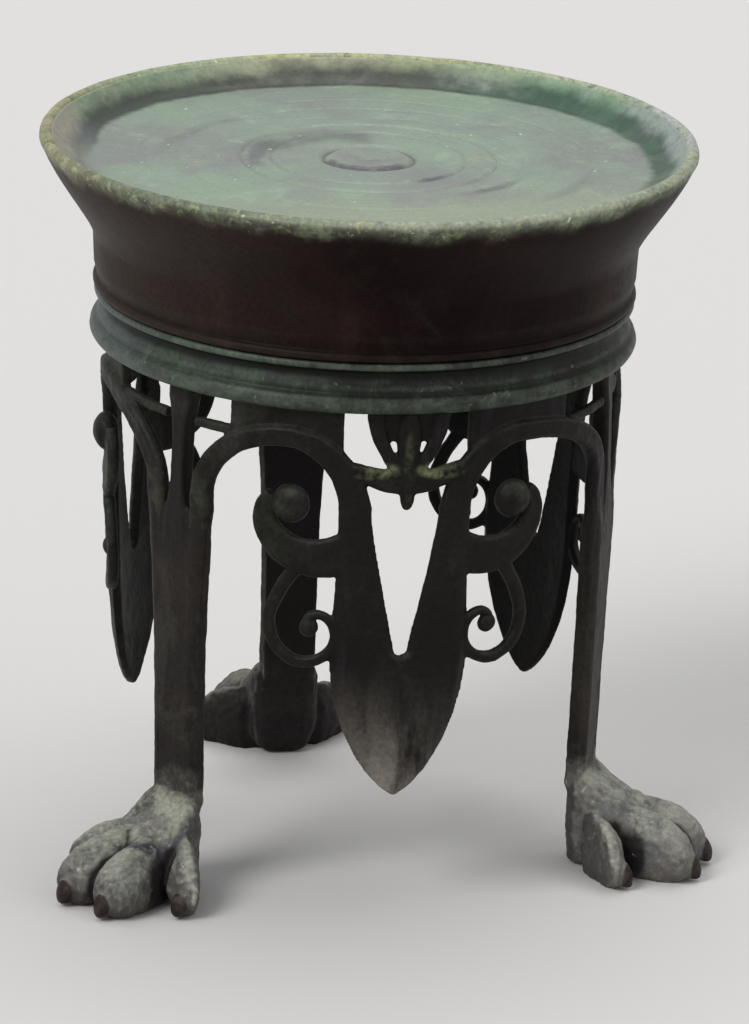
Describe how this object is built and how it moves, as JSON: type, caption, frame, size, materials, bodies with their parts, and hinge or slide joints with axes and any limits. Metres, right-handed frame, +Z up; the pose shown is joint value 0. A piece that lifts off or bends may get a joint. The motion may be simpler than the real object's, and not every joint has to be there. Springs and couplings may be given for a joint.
{
  "type": "lamp stand",
  "caption": "Low bronze lamp stand: a turned dish in a flaring drum, on feline legs with openwork scroll and leaf ornaments between them",
  "frame": {"origin": "the middle of the dish's floor, where the lamp stands", "axes": "+Z is up, out of the dish's floor; the back leg points along +Y; the front ornament faces -Y"},
  "size_m": [0.1774, 0.1826, 0.1906],
  "materials": {
    "dish_bronze": "grey-green patina with worn turned rings",
    "wall_bronze": "dark brown patina, smooth",
    "ring_bronze": "dark green patina",
    "leg_bronze": "dark brown-grey patina, paws with a pale grey-green crust",
    "ornament_bronze": "dark olive patina",
    "pin_bronze": "drawn bronze, dull"
  },
  "bodies": {
    "root": {"dish_plate": "dish_bronze", "drum_wall": "wall_bronze", "base_ring": "ring_bronze", "leg_front_left": "leg_bronze", "leg_front_right": "leg_bronze", "leg_back": "leg_bronze", "ornament_front": "ornament_bronze", "ornament_left": "ornament_bronze", "ornament_right": "ornament_bronze", "pin_leg_front_left": "pin_bronze", "pin_leg_front_right": "pin_bronze", "pin_leg_back": "pin_bronze", "pin_ornament_front_left": "pin_bronze", "pin_ornament_front_right": "pin_bronze", "pin_ornament_left_left": "pin_bronze", "pin_ornament_left_right": "pin_bronze", "pin_ornament_right_left": "pin_bronze", "pin_ornament_right_right": "pin_bronze"}
  },
  "joints": []
}
